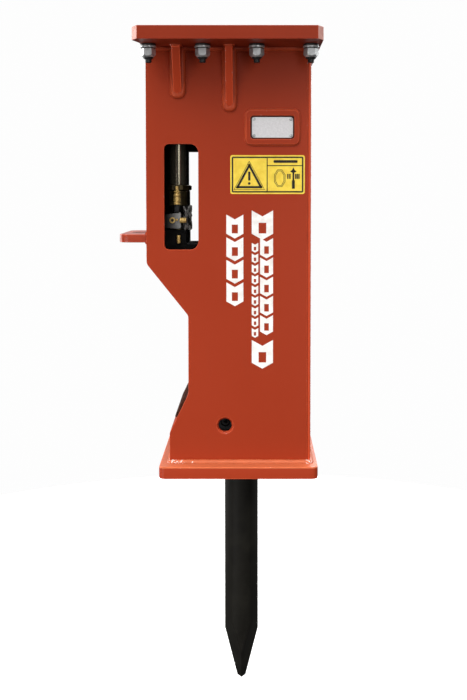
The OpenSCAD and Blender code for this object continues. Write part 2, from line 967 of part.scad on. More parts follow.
module piston() {
    head_low_z = -440;
    head_top_z = -320;
    top_z = -160;
    color(steel_grey) {
        bar(rod_r, strike_z + 3, head_low_z);
        translate([0, 0, strike_z]) cylinder(r1 = rod_r - 3, r2 = rod_r, h = 3);
        bar(piston_r, head_low_z, head_low_z + 45);
        bar(piston_r - 4, head_low_z + 45, head_top_z - 45);
        bar(piston_r, head_top_z - 45, head_top_z);
        bar(rod_r, head_top_z, top_z);
    }
}

module valve_spool() {
    color(steel_grey) translate([valve_x, 0, 0]) difference() {
        union() {
            for (z = [0, 32, 64]) bar(spool_r, spool_low_z + z, spool_low_z + z + 24);
            bar(spool_r - 4, spool_low_z, spool_low_z + spool_len);
        }
        bar(3, spool_low_z - 1, spool_low_z + 20);
    }
}

adapter_plate();
top_flange();
near_side_plate();
far_side_plate();
right_wall();
upper_left_wall();
lower_left_wall();
bottom_flange();
short_gussets();
long_gussets();
side_lug();
nameplate_frame();
nameplate();
nameplate_screws();
yellow_label();
white_graphics();
ribbed_pad();
plate_screws();
plate_washers();
plate_nuts();
upper_buffer();
back_head();
gas_valve();
gas_valve_cap();
cylinder_block();  // cylinder
seal_carrier();
gas_seals();
oil_seals();
valve_body();
valve_plug();
valve_screws();
front_head();
upper_bush();
lower_bush();
bush_pin();
dust_seal();
lower_buffer();
wear_pads();
tie_rods();
tie_rod_washers();
tie_rod_nuts();
port_blocks();
port_block_screws();
hose_adapters();
adapter_nuts();
swivel_nuts();
test_points();
line_clamp();
clamp_straps();
clamp_bolts();
inlet_hose();
outlet_hose();
hose_ferrules();
top_couplings();
coupling_nuts();
grease_nipple();
retaining_pin();
chisel();
piston();
valve_spool();
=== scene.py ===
import json
import math
import random
import bpy
from mathutils import Matrix, Vector


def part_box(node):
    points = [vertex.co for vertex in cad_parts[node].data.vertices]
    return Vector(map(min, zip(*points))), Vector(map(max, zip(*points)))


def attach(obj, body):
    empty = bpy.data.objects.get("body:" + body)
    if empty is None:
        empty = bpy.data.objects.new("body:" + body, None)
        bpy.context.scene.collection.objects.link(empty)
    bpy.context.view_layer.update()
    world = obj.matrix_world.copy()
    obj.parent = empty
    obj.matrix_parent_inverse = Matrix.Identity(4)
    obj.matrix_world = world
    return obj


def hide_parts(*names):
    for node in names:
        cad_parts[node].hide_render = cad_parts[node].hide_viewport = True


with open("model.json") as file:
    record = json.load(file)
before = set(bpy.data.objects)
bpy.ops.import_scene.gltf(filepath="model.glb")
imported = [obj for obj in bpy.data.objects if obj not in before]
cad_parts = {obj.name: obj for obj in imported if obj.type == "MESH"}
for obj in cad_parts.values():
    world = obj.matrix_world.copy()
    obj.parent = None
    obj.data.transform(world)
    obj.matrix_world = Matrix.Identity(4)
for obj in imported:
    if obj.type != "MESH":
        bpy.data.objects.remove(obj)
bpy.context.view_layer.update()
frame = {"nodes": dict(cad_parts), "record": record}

root = "housing"
mm = 0.001


# camera and light

cameraValues = {"place": (0.0255, -1.975, -0.294), "pitch": 2.7, "lens": 50.2,
                "shiftX": -0.029, "shiftY": -0.162}


def makeCamera(values):
    data = bpy.data.cameras.new("viewCamera")
    data.lens = values["lens"]
    data.shift_x = values["shiftX"]
    data.shift_y = values["shiftY"]
    data.clip_start = 0.05
    camera = bpy.data.objects.new("viewCamera", data)
    camera.location = values["place"]
    camera.rotation_euler = (math.radians(90 - values["pitch"]), 0, 0)
    bpy.context.scene.collection.objects.link(camera)
    bpy.context.scene.camera = camera


lightValues = {
    "key": {"place": (-1.35, -2.1, 1.35), "aim": (0, 0, -1.1), "size": (1.8, 1.8), "power": 8.3,
            "spread": 60},
    "fill": {"place": (-1.3, -1.6, -1.05), "aim": (0, 0, -0.8), "size": (1.2, 0.9), "power": 4.5,
             "spread": 90},
    "top": {"place": (0.1, -0.4, 2.1), "aim": (0, 0, -0.3), "size": (1.6, 1.6), "power": 75},
    "left": {"place": (-2.2, 1.1, -0.2), "aim": (0, 0, -0.4), "size": (0.8, 2.4), "power": 48},
    "right": {"place": (2.0, 1.5, -0.2), "aim": (0, 0, -0.4), "size": (0.7, 2.4), "power": 20},
    "back": {"place": (0.9, 2.6, 0.9), "aim": (0, 0, -0.5), "size": (1.8, 1.8), "power": 60},
    "strip": {"place": (0.70, -2.55, -0.2), "aim": (-0.12, 0, -0.3), "size": (0.48, 1.7), "power": 13}}
worldValues = {"backdrop": 0.985, "high": 1.05, "low": 0.09, "risesFrom": -0.06, "risesTo": 0.45}


def makeLights(lights, world):
    for name, light in lights.items():
        data = bpy.data.lights.new(name + "Light", "AREA")
        data.shape = "RECTANGLE"
        data.size, data.size_y = light["size"]
        data.energy = light["power"]
        data.spread = math.radians(light.get("spread", 180))
        lamp = bpy.data.objects.new(name + "Light", data)
        lamp.location = light["place"]
        lamp.rotation_euler = (Vector(light["aim"]) - lamp.location).to_track_quat("-Z", "Y").to_euler()
        bpy.context.scene.collection.objects.link(lamp)
    sky = bpy.data.worlds.new("paleStudio")
    sky.use_nodes = True
    tree = sky.node_tree
    shine = tree.nodes["Background"]
    shine.inputs["Color"].default_value = (1, 1, 1, 1)
    # the backdrop looks white, and lights the object less from below than from above
    split = tree.nodes.new("ShaderNodeSeparateXYZ")
    tree.links.new(tree.nodes.new("ShaderNodeTexCoord").outputs["Generated"], split.inputs[0])
    height = tree.nodes.new("ShaderNodeMapRange")
    height.inputs["From Min"].default_value = world["risesFrom"]
    height.inputs["From Max"].default_value = world["risesTo"]
    height.inputs["To Min"].default_value = world["low"]
    height.inputs["To Max"].default_value = world["high"]
    tree.links.new(split.outputs["Z"], height.inputs["Value"])
    choice = tree.nodes.new("ShaderNodeMix")
    tree.links.new(tree.nodes.new("ShaderNodeLightPath").outputs["Is Camera Ray"], choice.inputs[0])
    tree.links.new(height.outputs[0], choice.inputs[2])
    choice.inputs[3].default_value = world["backdrop"]
    tree.links.new(choice.outputs[0], shine.inputs["Strength"])
    bpy.context.scene.world = sky
    bpy.context.scene.view_settings.view_transform = "Standard"


# shader wiring

class Wire:
    def __init__(self, tree, socket):
        self.tree = tree
        self.socket = socket

    def maths(self, operation, first, second):
        node = self.tree.nodes.new("ShaderNodeMath")
        node.operation = operation
        for place, value in enumerate((first, second)):
            if isinstance(value, Wire):
                self.tree.links.new(value.socket, node.inputs[place])
            else:
                node.inputs[place].default_value = value
        return Wire(self.tree, node.outputs[0])

    def __add__(self, other):
        return self.maths("ADD", self, other)

    def __radd__(self, other):
        return self.maths("ADD", other, self)

    def __sub__(self, other):
        return self.maths("SUBTRACT", self, other)

    def __rsub__(self, other):
        return self.maths("SUBTRACT", other, self)

    def __mul__(self, other):
        return self.maths("MULTIPLY", self, other)

    def __rmul__(self, other):
        return self.maths("MULTIPLY", other, self)

    def least(self, other):
        return self.maths("MINIMUM", self, other)

    def __gt__(self, other):
        return self.maths("GREATER_THAN", self, other)

    def __lt__(self, other):
        return self.maths("LESS_THAN", self, other)


class Finish:
    def __init__(self, name, fixed):
        self.material = bpy.data.materials.new(name)
        self.material.use_nodes = True
        self.tree = self.material.node_tree
        self.shader = self.tree.nodes["Principled BSDF"]
        for socket, value in fixed.items():
            self.shader.inputs[socket].default_value = value

    def add(self, kind, settings, socketShades, output=0):
        node = self.tree.nodes.new("ShaderNode" + kind)
        for name, value in settings.items():
            if name == "stops":
                elements = node.color_ramp.elements
                while len(elements) < len(value):
                    elements.new(0.5)
                for element, (place, colour) in zip(elements, value):
                    element.position = place
                    element.color = (*colour, 1) if isinstance(colour, tuple) else (colour,) * 3 + (1,)
            else:
                setattr(node, name, value)
        for name, value in socketShades.items():
            if isinstance(value, Wire):
                self.tree.links.new(value.socket, node.inputs[name])
            else:
                node.inputs[name].default_value = value
        return Wire(self.tree, node.outputs[output])

    def feed(self, socket, wire):
        self.tree.links.new(wire.socket, self.shader.inputs[socket])

    def coords(self, scale=(1, 1, 1)):
        place = self.add("TexCoord", {}, {}, "Object")
        if scale == (1, 1, 1):
            return place
        return self.add("Mapping", {}, {"Vector": place, "Scale": scale})

    def noise(self, scale, detail=3, rough=0.5, stretch=(1, 1, 1)):
        return self.add("TexNoise", {}, {"Vector": self.coords(stretch), "Scale": scale, "Detail": detail,
                                         "Roughness": rough}, "Fac")

    def ramp(self, wire, stops):
        return self.add("ValToRGB", {"stops": stops}, {"Fac": wire}, "Color")

    def blend(self, factor, first, second):
        node = self.tree.nodes.new("ShaderNodeMix")
        node.data_type = "RGBA"
        for place, value in ((0, factor), (6, first), (7, second)):
            if isinstance(value, Wire):
                self.tree.links.new(value.socket, node.inputs[place])
            elif place:
                node.inputs[place].default_value = (*value, 1)
            else:
                node.inputs[place].default_value = value
        return Wire(self.tree, node.outputs[2])

    def relief(self, height, depth, strength):
        bump = self.add("Bump", {}, {"Height": height, "Distance": depth, "Strength": strength}, "Normal")
        self.feed("Normal", bump)


# paint of the housing: smooth red-orange, lighter on broken edges from worn paint and a painted highlight,
# and near black inside the box as painted shade

# the edge colour is partly worn paint, partly a painted highlight
paintValues = {"base": (0.312, 0.0345, 0.0110), "deep": (0.296, 0.0318, 0.0098), "edge": (0.50, 0.070, 0.026),
               # the near black inside colour is painted shade
               "bare": (0.52, 0.48, 0.46), "inside": (0.010, 0.009, 0.008), "grime": (0.16, 0.035, 0.018),
               # the pale colour is a painted highlight, the orange one after it painted top light
               "pale": (0.86, 0.44, 0.36), "sunned": (0.82, 0.32, 0.13)}

# each part's paint tone, its coat of varnish and its orange peel; a tone above 1 is painted light, below 1
# painted shade
paintCoats = {
    "housingPaint": {"tone": 1.0, "coat": 0.03, "bumps": 0.35},
    # painted shade: the top plates' paint darkened
    "platePaint": {"tone": 0.72, "coat": 0.03, "bumps": 0.35},
    # painted light: the gussets' paint lightened
    "gussetPaint": {"tone": 1.5, "coat": 0.03, "bumps": 0.35},
    # painted top light: the foot flange's paint lightened
    "flangePaint": {"tone": 1.13, "coat": 0.14, "bumps": 0.3},
    # painted highlight: the corner seams' paint lightened
    "seamPaint": {"tone": 1.4, "coat": 0.03, "bumps": 0.35},
    "lugPaint": {"tone": 1.0, "coat": 0.6, "bumps": 0.04}}

# stretches of the housing with a finish of their own, as limits in metres: painted shade inside the box, in
# the pin eye and round the badge, painted highlights on the right edges and the top plates' end chamfers,
# painted top light on the foot flange
insideShadeBox = {"X": (-0.1685, 0.1235), "Y": (-0.0985, 0.0985), "Z": (-0.43, -0.0235)}
eyeShadeBox = {"X": (-0.2225, -0.1855), "Y": (-0.0185, 0.0185), "Z": (-0.3938, -0.3784)}
badgeShadowBox = {"X": (0.0190, 0.1028), "Y": (-0.1150, -0.1090), "Z": (-0.1961, -0.1519)}
rightHighlightStrips = [{"X": (0.1308, 0.1370), "Y": span, "Z": (-0.8150, -0.0300)}
               for span in ((-0.112, -0.098), (0.098, 0.112))]
paintedHighlightEnds = [{"X": spanX, "Y": spanY, "Z": (-0.0235, -0.0005)} for spanX in ((-0.2, -0.1800), (0.1400, 0.156))
            for spanY in ((-0.2246, -0.2), (0.2, 0.2246))]
paintedLightFootTop = {"X": (-0.2, 0.2), "Y": (-0.2, 0.2), "Z": (-0.8230, -0.8190)}


def insideMask(finish, limits):
    split = finish.add("SeparateXYZ", {}, {"Vector": finish.coords()}, "X")
    mask = None
    for axis, (low, high) in limits.items():
        along = Wire(finish.tree, split.socket.node.outputs[axis])
        part = (along > low) * (along < high)
        mask = part if mask is None else mask * part
    return mask


def anyMask(finish, boxes):
    masks = [insideMask(finish, limits) for limits in boxes]
    return sum(masks[1:], masks[0]).least(1.0)


def housingPaint(name, values, tone, coat, bumps):
    def paintedLightToned(colour):
        return tuple(part * tone for part in values[colour])

    finish = Finish(name, {"Specular IOR Level": 0.09, "Coat Roughness": 0.3})
    broad = finish.ramp(finish.noise(5, 3, 0.5), [(0.35, 0.0), (0.65, 1.0)])
    fine = finish.ramp(finish.noise(90, 3, 0.6), [(0.35, 0.0), (0.7, 1.0)])
    colour = finish.blend(broad * 0.6 + fine * 0.2, paintedLightToned("deep"), paintedLightToned("base"))
    streak = finish.ramp(finish.noise(11, 3, 0.5, (5, 5, 0.5)), [(0.62, 0.0), (0.8, 1.0)])
    colour = finish.blend(streak * 0.10, colour, values["grime"])
    edge = finish.add("Attribute", {"attribute_name": "bevelFace"}, {}, "Fac")
    patchy = finish.ramp(finish.noise(30, 4, 0.6), [(0.40, 0.0), (0.62, 1.0)])
    chipped = edge * patchy * finish.ramp(finish.noise(170, 4, 0.65), [(0.64, 0.0), (0.68, 1.0)])
    # bevel faces lighter: partly worn paint, partly a painted highlight on the edges
    colour = finish.blend(edge * (0.45 + patchy * 0.35), colour, paintedLightToned("edge"))
    colour = finish.blend(chipped, colour, values["bare"])
    # painted highlight along the rounded right edges
    colour = finish.blend(anyMask(finish, rightHighlightStrips) * 0.6, colour, paintedLightToned("edge"))
    # painted highlight on the top plates' end chamfers
    colour = finish.blend(anyMask(finish, paintedHighlightEnds) * (0.38 + patchy * 0.3), colour, values["pale"])
    # painted top light on the foot flange's top face
    colour = finish.blend(insideMask(finish, paintedLightFootTop) * 0.24, colour, values["sunned"])
    # painted shadow round the badge, inside its frame
    colour = finish.blend(insideMask(finish, badgeShadowBox) * 0.75, colour, values["inside"])
    # painted shade: the box's inside and the lug's pin eye made near black
    inside = anyMask(finish, [insideShadeBox, eyeShadeBox])
    finish.feed("Base Color", finish.blend(inside, colour, values["inside"]))
    finish.feed("Roughness", 0.36 + fine * 0.05 + broad * 0.04 + chipped * 0.1)
    finish.feed("Coat Weight", coat - inside * coat)
    finish.relief(finish.noise(380, 2, 0.5) * 0.5 + finish.noise(60, 2, 0.5) * 0.5, 0.00025, bumps)
    return finish.material


weldValues = {"colour": (0.37, 0.046, 0.015), "pale": (0.50, 0.078, 0.028), "shade": (0.27, 0.028, 0.009),
              # the foot bead's lighter orange colour is painted top light
              "bare": (0.80, 0.72, 0.68), "sunned": (0.82, 0.36, 0.15),
              "rubbedSpots": (((-0.137, -0.114, -0.816), 0.014), ((-0.115, -0.117, -0.818), 0.008),
                              ((-0.092, -0.117, -0.818), 0.004), ((0.134, -0.112, -0.818), 0.009))}
paintedLightFootBead = {"X": (-0.16, 0.16), "Y": (-0.13, 0.13), "Z": (-0.83, -0.80)}


def weldPaint(values):
    finish = Finish("weldPaint", {"Specular IOR Level": 0.13, "Coat Roughness": 0.3})
    patches = finish.ramp(finish.noise(80, 3, 0.6), [(0.35, 0.0), (0.7, 1.0)])
    hollows = finish.ramp(finish.noise(160, 3, 0.6), [(0.55, 0.0), (0.72, 1.0)])
    colour = finish.blend(patches * 0.6, values["colour"], values["pale"])
    colour = finish.blend(hollows * 0.4, colour, values["shade"])
    # painted top light on the foot bead
    colour = finish.blend(insideMask(finish, paintedLightFootBead) * 0.18, colour, values["sunned"])
    grit = finish.ramp(finish.noise(260, 4, 0.7), [(0.54, 0.0), (0.60, 1.0)])
    worn = 0.0
    for place, reach in values["rubbedSpots"]:   # bare metal at the foot's corners
        near = finish.add("VectorMath", {"operation": "DISTANCE"}, {0: finish.coords(), 1: place}, "Value")
        worn = worn + (near < reach)
    worn = grit * worn.least(1.0)
    finish.feed("Base Color", finish.blend(worn, colour, values["bare"]))
    finish.feed("Roughness", 0.32 + patches * 0.14 - worn * 0.1)
    finish.feed("Coat Weight", 0.04 - worn * 0.04)
    finish.relief(finish.noise(420, 2, 0.5), 0.0004, 0.4)
    return finish.material


# plain metals differ only in colour, scratches and polish

metalValues = {
    "zincPlate": {
        "light": (0.60, 0.61, 0.61), "dark": (0.30, 0.31, 0.31), "polish": 0.34, "grain": 60, "metal": 0.72},
    "blankPlate": {
        "light": (0.66, 0.645, 0.65), "dark": (0.54, 0.525, 0.53), "polish": 0.42, "grain": 260,
        "metal": 0.25},
    "cellCasting": {
        "light": (0.060, 0.060, 0.062), "dark": (0.018, 0.018, 0.019), "polish": 0.5, "grain": 45,
        "metal": 0.5},
    "groundSteel": {
        "light": (0.66, 0.67, 0.68), "dark": (0.45, 0.46, 0.47), "polish": 0.2, "grain": 220, "metal": 1.0},
    "bushBronze": {
        "light": (0.60, 0.42, 0.17), "dark": (0.36, 0.25, 0.10), "polish": 0.35, "grain": 90, "metal": 1.0},
    "blackOxide": {
        "light": (0.022, 0.023, 0.024), "dark": (0.008, 0.008, 0.008), "polish": 0.36, "grain": 70,
        "metal": 0.3},
    "greySteel": {
        "light": (0.24, 0.235, 0.225), "dark": (0.09, 0.088, 0.083), "polish": 0.40, "grain": 70,
        "metal": 0.55},
    "strapSteel": {
        "light": (0.25, 0.245, 0.235), "dark": (0.10, 0.098, 0.092), "polish": 0.40, "grain": 70,
        "metal": 0.5, "oily": (0.012, 0.012, 0.011), "fade": (-0.144, -0.119)},
    "yellowBrass": {
        "light": (0.66, 0.45, 0.15), "dark": (0.36, 0.23, 0.07), "polish": 0.42, "grain": 90, "metal": 0.45},
    "wellBlack": {
        "light": (0.0070, 0.0065, 0.0060), "dark": (0.002, 0.002, 0.002), "polish": 0.6, "grain": 60,
        "metal": 0.0, "sheen": 0.04},
    "oliveBrass": {
        "light": (0.095, 0.070, 0.028), "dark": (0.028, 0.020, 0.009), "polish": 0.30, "grain": 80,
        "metal": 0.6},
    "roughAlloy": {
        "light": (0.16, 0.15, 0.14), "dark": (0.003, 0.003, 0.003), "polish": 0.40, "grain": 170,
        "metal": 0.4},
    "toolBlack": {
        "light": (0.0125, 0.0114, 0.0086), "dark": (0.0052, 0.0046, 0.0036), "polish": 0.46, "grain": 22,
        "metal": 0.0, "sheen": 0.13}}


def metalFinish(name, values):
    finish = Finish(name, {"Metallic": values["metal"], "Specular IOR Level": values.get("sheen", 0.4)})
    cloud = finish.ramp(finish.noise(values["grain"], 4, 0.6), [(0.3, 0.0), (0.72, 1.0)])
    scratch = finish.ramp(finish.noise(values["grain"] * 5, 3, 0.6, (1, 1, 0.2)), [(0.5, 0.0), (0.75, 1.0)])
    colour = finish.blend(cloud, values["dark"], values["light"])
    if "fade" in values:   # darker towards the left
        low, high = values["fade"]
        split = finish.add("SeparateXYZ", {}, {"Vector": finish.coords()}, "X")
        clean = finish.add("MapRange", {}, {"Value": split, "From Min": low, "From Max": high}, "Result")
        colour = finish.blend(clean, values["oily"], colour)
    finish.feed("Base Color", colour)
    finish.feed("Roughness", values["polish"] + cloud * 0.12 + scratch * 0.08)
    finish.relief(cloud * 0.5 + scratch * 0.5, 0.0003, 0.4)
    return finish.material


rubberValues = {
    "padRubber": {"light": (0.035, 0.035, 0.035), "dark": (0.012, 0.012, 0.012), "gloss": 0.6},
    "ribbedRubber": {"light": (0.070, 0.022, 0.012), "dark": (0.025, 0.009, 0.006), "gloss": 0.75,
                     "sheen": 0.06},
    "sealRubber": {"light": (0.03, 0.03, 0.03), "dark": (0.012, 0.012, 0.012), "gloss": 0.4},
    "hoseRubber": {"light": (0.235, 0.210, 0.155), "dark": (0.20, 0.18, 0.13), "gloss": 0.17, "metal": 0.85,
                   "bumps": 0.03}}


def rubberFinish(name, values):
    finish = Finish(name, {"Specular IOR Level": values.get("sheen", 0.5),
                           "Metallic": values.get("metal", 0.0)})
    cloud = finish.ramp(finish.noise(55, 4, 0.6), [(0.3, 0.0), (0.7, 1.0)])
    finish.feed("Base Color", finish.blend(cloud, values["dark"], values["light"]))
    finish.feed("Roughness", values["gloss"] + cloud * 0.06)
    finish.relief(finish.noise(300, 3, 0.6), 0.0003, values.get("bumps", 0.25))
    return finish.material


vinylValues = {
    "labelYellow": {"light": (0.84, 0.62, 0.065), "dark": (0.76, 0.53, 0.045), "gloss": 0.4},
    "labelBlack": {"light": (0.014, 0.012, 0.008), "dark": (0.007, 0.006, 0.005), "gloss": 0.4},
    "graphicWhite": {"light": (0.86, 0.835, 0.80), "dark": (0.74, 0.70, 0.66), "gloss": 0.45}}


def vinylFinish(name, values):
    finish = Finish(name, {"Specular IOR Level": 0.3})
    worn = finish.ramp(finish.noise(70, 4, 0.65), [(0.38, 0.0), (0.58, 1.0)])
    finish.feed("Base Color", finish.blend(worn, values["dark"], values["light"]))
    finish.feed("Roughness", values["gloss"] + worn * 0.12)
    finish.relief(finish.noise(500, 2, 0.5), 0.0002, 0.25)
    return finish.material


# mesh helpers

def selectNone():
    if bpy.context.object and bpy.context.object.mode != "OBJECT":
        bpy.ops.object.mode_set(mode="OBJECT")
    bpy.ops.object.select_all(action="DESELECT")


def onlySelect(*objects):
    selectNone()
    for thing in objects:
        thing.select_set(True)
    bpy.context.view_layer.objects.active = objects[0]


def applyAll(thing):
    onlySelect(thing)
    for modifier in list(thing.modifiers):
        bpy.ops.object.modifier_apply(modifier=modifier.name)


def settle(thing):
    onlySelect(thing)
    bpy.ops.object.transform_apply(location=True, rotation=True, scale=True)


def joined(name, parts):
    onlySelect(*parts)
    if len(parts) > 1:
        bpy.ops.object.join()
    parts[0].name = name
    return parts[0]


def copiesAt(name, model, matrices):
    copies = []
    for matrix in matrices:
        copy = bpy.data.objects.new(name, model.data.copy())
        bpy.context.scene.collection.objects.link(copy)
        copy.matrix_world = matrix
        settle(copy)
        copies.append(copy)
    bpy.data.objects.remove(model)
    return joined(name, copies)


def smoothed(thing, degrees=38):
    onlySelect(thing)
    bpy.ops.object.shade_smooth_by_angle(angle=math.radians(degrees))


def dress(thing, material, body=root, replaced=()):
    thing.data.materials.clear()
    thing.data.materials.append(material)
    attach(thing, body)
    if replaced:
        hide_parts(*replaced)


# a turned shape about Z: a circle extruded along a profile of radius and height, in mm

def turned(profile, sides=32):
    radius, height = profile[0]
    selectNone()
    bpy.ops.mesh.primitive_circle_add(vertices=sides, radius=radius * mm, location=(0, 0, 0))
    piece = bpy.context.object
    bpy.ops.object.mode_set(mode="EDIT")
    bpy.ops.mesh.select_all(action="SELECT")
    bpy.ops.transform.translate(value=(0, 0, height * mm))
    for nextRadius, nextHeight in profile[1:]:
        rise = (nextHeight - height) * mm
        bpy.ops.mesh.extrude_edges_move(TRANSFORM_OT_translate={"value": (0, 0, rise)})
        grow = nextRadius / radius
        bpy.ops.transform.resize(value=(grow, grow, 1), center_override=(0, 0, nextHeight * mm))
        radius, height = nextRadius, nextHeight
    bpy.ops.mesh.select_all(action="SELECT")
    bpy.ops.mesh.remove_doubles(threshold=0.000005)
    bpy.ops.mesh.fill_holes(sides=0)
    bpy.ops.mesh.select_all(action="SELECT")
    bpy.ops.mesh.normals_make_consistent(inside=False)
    bpy.ops.object.mode_set(mode="OBJECT")
    return piece


# a merged copy of a CAD node with its edges broken, apart from the edges that skip picks out

softeningValues = {"merge": 0.01, "flat": 0.5, "sharp": 25, "segments": 2, "smooth": 38, "faceWeight": 100}


def softened(node, name, width, skip=None):
    values = softeningValues
    source = frame["nodes"][node]
    piece = bpy.data.objects.new(name, source.data.copy())
    bpy.context.scene.collection.objects.link(piece)
    onlySelect(piece)
    bpy.ops.mesh.customdata_custom_splitnormals_clear()
    bpy.ops.object.mode_set(mode="EDIT")
    bpy.ops.mesh.select_all(action="SELECT")
    bpy.ops.mesh.remove_doubles(threshold=values["merge"] * mm)
    bpy.ops.mesh.dissolve_limited(angle_limit=math.radians(values["flat"]))
    bpy.ops.mesh.select_all(action="DESELECT")
    bpy.ops.mesh.select_mode(type="EDGE")
    bpy.ops.mesh.edges_select_sharp(sharpness=math.radians(values["sharp"]))
    bpy.ops.object.mode_set(mode="OBJECT")
    weights = piece.data.attributes.new("bevel_weight_edge", "FLOAT", "EDGE")
    points = piece.data.vertices
    for edge in piece.data.edges:
        ends = [points[index].co / mm for index in edge.vertices]
        weights.data[edge.index].value = float(edge.select and not (skip and skip(*ends)))
    piece.data.materials.clear()
    piece.data.materials.append(None)
    piece.data.materials.append(None)
    for polygon in piece.data.polygons:
        polygon.material_index = 0
    bevel = piece.modifiers.new("edges", "BEVEL")
    bevel.width = width * mm
    bevel.segments = values["segments"]
    bevel.limit_method = "WEIGHT"
    bevel.material = 1
    applyAll(piece)
    marks = [float(polygon.material_index == 1) for polygon in piece.data.polygons]
    piece.data.attributes.new("bevelFace", "FLOAT", "FACE").data.foreach_set("value", marks)
    for polygon in piece.data.polygons:
        polygon.material_index = 0
    smoothed(piece, values["smooth"])
    weighted = piece.modifiers.new("normals", "WEIGHTED_NORMAL")
    weighted.keep_sharp = True
    weighted.weight = values["faceWeight"]
    applyAll(piece)
    return piece


makeCamera(cameraValues)
makeLights(lightValues, worldValues)

materials = {name: housingPaint(name, paintValues, **layer) for name, layer in paintCoats.items()}
materials["weldPaint"] = weldPaint(weldValues)
for name, values in metalValues.items():
    materials[name] = metalFinish(name, values)
for name, values in rubberValues.items():
    materials[name] = rubberFinish(name, values)
for name, values in vinylValues.items():
    materials[name] = vinylFinish(name, values)
print("materials made:", len(materials))

slotMaterials = {
    "housing_paint": "housingPaint", "zinc": "zincPlate", "bare_plate": "blankPlate",
    "label_yellow": "labelYellow", "graphic_white": "graphicWhite", "pad_rubber": "padRubber",
    "ribbed_rubber": "ribbedRubber", "seal_rubber": "sealRubber", "cell_casting": "cellCasting",
    "ground_steel": "groundSteel", "bush_bronze": "bushBronze", "black_oxide": "blackOxide",
    "grey_steel": "greySteel", "yellow_brass": "yellowBrass", "hose_rubber": "hoseRubber",
    "tool_black": "toolBlack"}
slotOf = {part["node"]: part["material_slot"] for part in frame["record"]["subparts"]}
bodyOf = {node: body for body, nodes in frame["record"]["behaviour"]["bodies"].items() for node in nodes}
finishOf = {
    "adapter_plate": "platePaint", "top_flange": "platePaint", "bottom_flange": "flangePaint",
    "short_gussets": "gussetPaint", "long_gussets": "gussetPaint", "side_lug": "lugPaint",
    "hose_adapters": "oliveBrass", "swivel_nuts": "oliveBrass", "adapter_nuts": "wellBlack",
    "port_blocks": "wellBlack", "line_clamp": "wellBlack", "retaining_pin": "blackOxide"}
for node, thing in frame["nodes"].items():
    thing.data.materials.clear()
    thing.data.materials.append(materials[finishOf.get(node, slotMaterials[slotOf[node]])])

softEdges = {
    "adapter_plate": 1.6, "top_flange": 1.6, "near_side_plate": 1.8, "far_side_plate": 1.8,
    "right_wall": 0.8, "upper_left_wall": 0.8, "lower_left_wall": 0.8, "bottom_flange": 2.6,
    "short_gussets": 1.8, "long_gussets": 1.8, "side_lug": 1.8, "nameplate_frame": 1.8,
    "nameplate": 0.5, "port_blocks": 1.0, "line_clamp": 1.2, "valve_body": 1.5, "back_head": 2.0,
    "cylinder": 1.5, "front_head": 2.0, "chisel": 1.6, "plate_nuts": 1.1, "hose_adapters": 0.8,
    "swivel_nuts": 0.8, "adapter_nuts": 0.6, "top_couplings": 0.6, "coupling_nuts": 0.5}


def onPlateSeam(first, second):   # where the two top plates meet flush
    return abs(first.z + 12) < 0.1 and abs(second.z + 12) < 0.1 and abs(first.y) > 60


def titled(node):
    first, *others = node.split("_")
    return "soft" + first.capitalize() + "".join(word.capitalize() for word in others)


for node, width in softEdges.items():
    skip = onPlateSeam if node in ("adapter_plate", "top_flange") else None
    piece = softened(node, titled(node), width, skip)
    finishName = finishOf.get(node, slotMaterials[slotOf[node]])
    dress(piece, materials[finishName], bodyOf[node], [node])
print("edges broken on", len(softEdges), "parts")


# weld beads: tubes along each joint whose radius ripples as the weld was laid

weldSizes = {"step": 2.4, "ripple": 0.05, "pitch": 5.2, "jitter": 0.04, "seed": 7}


def arcPath(corners, radius, closed=True, steps=5):
    # corners of a flat path in mm, each rounded, as Vectors
    points = []
    count = len(corners)
    for index, corner in enumerate(corners):
        here = Vector(corner)
        if not closed and index in (0, count - 1):
            points.append(here)
            continue
        back = (Vector(corners[index - 1]) - here).normalized()
        ahead = (Vector(corners[(index + 1) % count]) - here).normalized()
        for step in range(steps + 1):
            t = step / steps
            points.append(here + back * radius * (1 - t) ** 2 + ahead * radius * t ** 2)
    return points


def evenPath(points, step, closed):
    ring = points + [points[0]] if closed else points
    laid = [ring[0]]
    left = step
    for first, second in zip(ring, ring[1:]):
        length = (second - first).length
        while length > 0 and left <= length:
            laid.append(first.lerp(second, left / length))
            left += step
        left -= length
    return laid


def weldBeads(name, paths, radius, material="weldPaint"):
    values = weldSizes
    chance = random.Random(values["seed"])
    data = bpy.data.curves.new(name, "CURVE")
    data.dimensions = "3D"
    data.bevel_depth = radius * mm
    data.bevel_resolution = 2
    data.use_fill_caps = True
    for points, closed in paths:
        laid = evenPath(points, values["step"], closed)
        spline = data.splines.new("POLY")
        spline.points.add(len(laid) - 1)
        for index, (point, place) in enumerate(zip(spline.points, laid)):
            wave = math.sin(2 * math.pi * index * values["step"] / values["pitch"])
            point.co = (*(place * mm), 1)
            point.radius = 1 + values["ripple"] * wave + values["jitter"] * chance.uniform(-1, 1)
        spline.use_cyclic_u = closed
    bead = bpy.data.objects.new(name, data)
    bpy.context.scene.collection.objects.link(bead)
    onlySelect(bead)
    bpy.ops.object.convert(target="MESH")
    bead = bpy.context.object
    bpy.ops.object.mode_set(mode="EDIT")
    bpy.ops.mesh.select_all(action="SELECT")
    bpy.ops.mesh.normals_make_consistent(inside=False)
    bpy.ops.object.mode_set(mode="OBJECT")
    smoothed(bead, 60)
    dress(bead, materials[material])


housing = {"left": -180, "right": 135, "side": 110, "roof": -24, "foot": -820, "footLeft": -137}
beadSizes = {"roof": 6.5, "foot": 6.5, "gusset": 7.4, "gussetTop": 3.4, "lug": 4.5, "badgeFrame": 3.2,
             "corner": 4.7, "left": 2.2}
cornerRadii = {"ring": 8, "gusset": 7, "gussetTop": 5}


